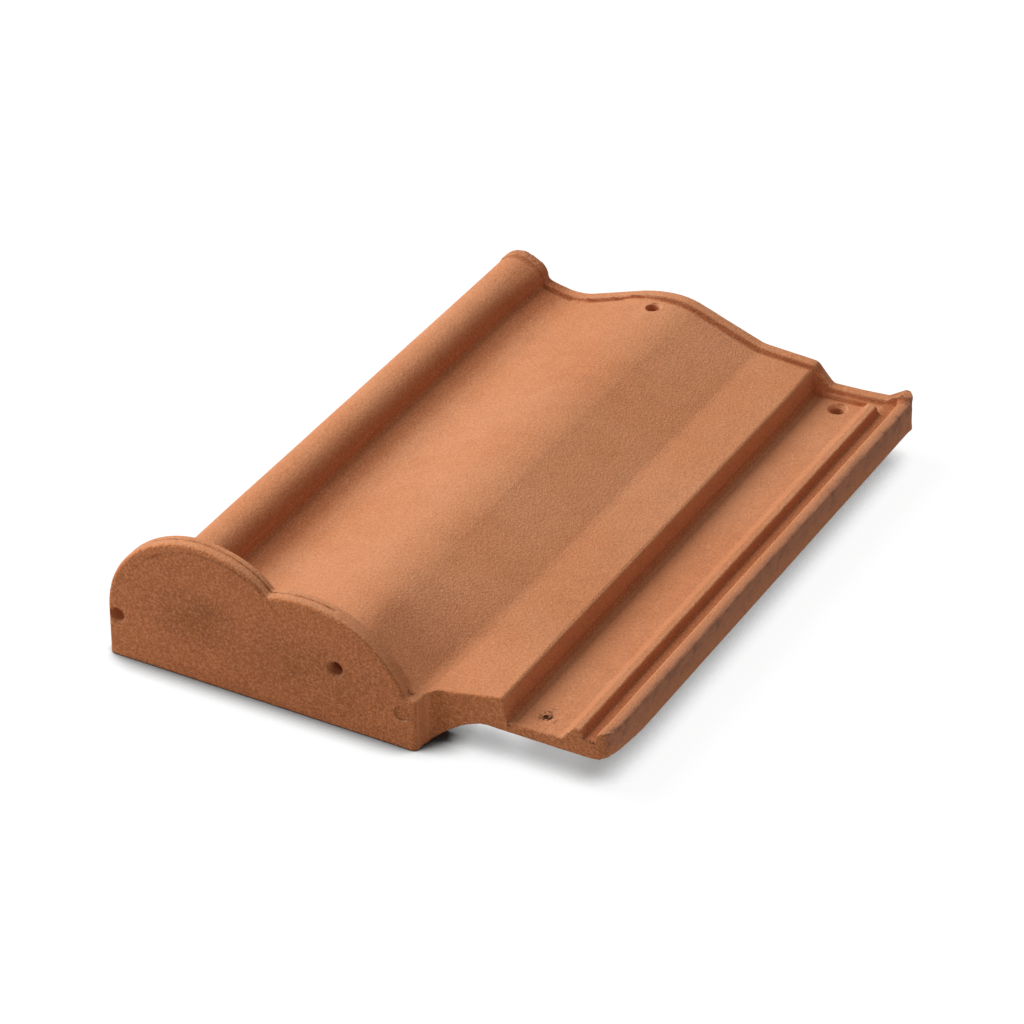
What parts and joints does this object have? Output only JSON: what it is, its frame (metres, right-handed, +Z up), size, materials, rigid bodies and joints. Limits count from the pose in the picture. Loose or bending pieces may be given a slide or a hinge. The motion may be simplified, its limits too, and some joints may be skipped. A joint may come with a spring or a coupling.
{
  "type": "closed-end starter roof tile",
  "caption": "Interlocking fired clay roof tile for the start of an eave, with a low roll, a broad hump, a right-hand side lock, a head lip and a lobed end plate that closes its front.",
  "frame": {"origin": "centre of the bounding box at the level of the end plate's foot", "axes": "+Y along the tile from the end plate to the head, +X towards the side lock, +Z up"},
  "size_m": [0.3178, 0.42, 0.0935],
  "materials": {
    "fired_clay": "matte, unglazed, sandy"
  },
  "bodies": {
    "root": {"roof_tile": "fired_clay"}
  },
  "joints": []
}
